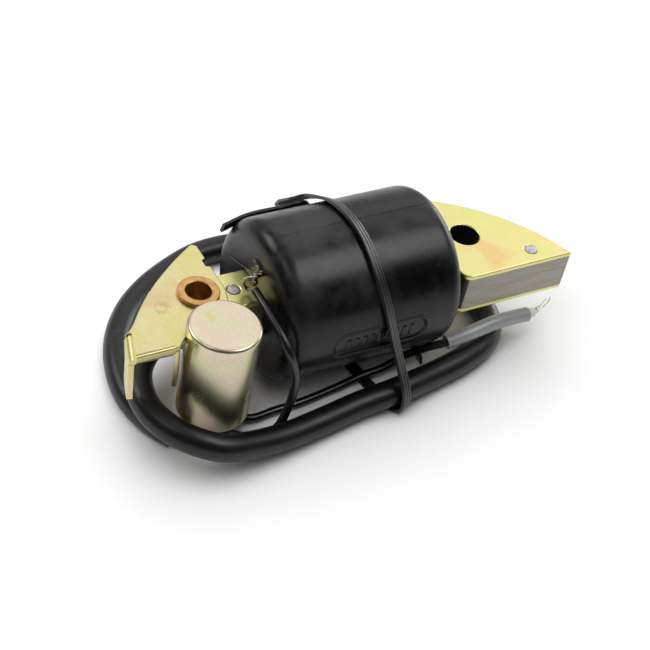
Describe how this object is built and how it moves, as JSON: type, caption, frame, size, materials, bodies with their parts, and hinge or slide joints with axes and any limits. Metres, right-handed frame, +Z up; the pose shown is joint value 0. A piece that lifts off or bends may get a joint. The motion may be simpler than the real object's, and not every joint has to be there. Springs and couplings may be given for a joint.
{
  "type": "ignition coil",
  "caption": "Small-engine ignition coil: moulded coil on a laminated core arm with a pole shoe, can condenser, tail bracket with bush, and tied-up leads.",
  "frame": {"origin": "centre of the hole in the pole shoe, on the top face of the core's top plate", "axes": "+X along the coil axis from the bush to the pole shoe, +Z up out of the top plate, +Y away from the condenser"},
  "size_m": [0.1285, 0.0764, 0.0449],
  "materials": {
    "case_plastic": "semi-gloss black moulding",
    "potting": "dark potting resin",
    "bobbin": "natural moulded bobbin",
    "copper_wire": "enamelled copper wire",
    "paper_wrap": "varnished paper wrap",
    "brass_contact": "brass contact",
    "lead_rubber": "satin black rubber",
    "core_steel": "stacked steel sheet edges",
    "zinc_yellow": "yellow passivated zinc plate",
    "rivet_steel": "bright rivet",
    "bush_copper": "copper-coloured bush",
    "can_zinc": "bright zinc with a faint yellow and pink sheen",
    "seal_rubber": "dark sealing disc",
    "tinned_metal": "tinned metal",
    "wire_black": "black PVC wire",
    "sleeve_grey": "glossy grey PVC sleeve",
    "insulation_white": "white wire insulation",
    "tie_black": "black flat tie"
  },
  "bodies": {
    "root": {"coil_case": "case_plastic", "potting_resin": "potting", "primary_bobbin": "bobbin", "primary_winding": "copper_wire", "winding_insulation": "paper_wrap", "secondary_bobbin": "bobbin", "secondary_winding": "copper_wire", "ht_contact": "brass_contact", "ht_grommet": "lead_rubber", "core_laminations": "core_steel", "core_top_plate": "zinc_yellow", "core_bottom_plate": "zinc_yellow", "core_rivets": "rivet_steel", "bracket_plate": "zinc_yellow", "bracket_bush": "bush_copper", "condenser_can": "can_zinc", "condenser_roll": "paper_wrap", "condenser_seal": "seal_rubber", "condenser_terminal": "tinned_metal", "condenser_solder": "tinned_metal", "coil_terminal": "tinned_metal", "terminal_solder": "tinned_metal", "winding_lead": "copper_wire", "ht_lead": "lead_rubber", "ht_lead_core": "tinned_metal", "jumper_wire": "wire_black", "lt_lead": "wire_black", "lt_sleeve": "sleeve_grey", "lt_insulation": "insulation_white", "lt_tinned_end": "tinned_metal", "lead_clip": "wire_black", "twist_tie": "tie_black"}
  },
  "joints": []
}
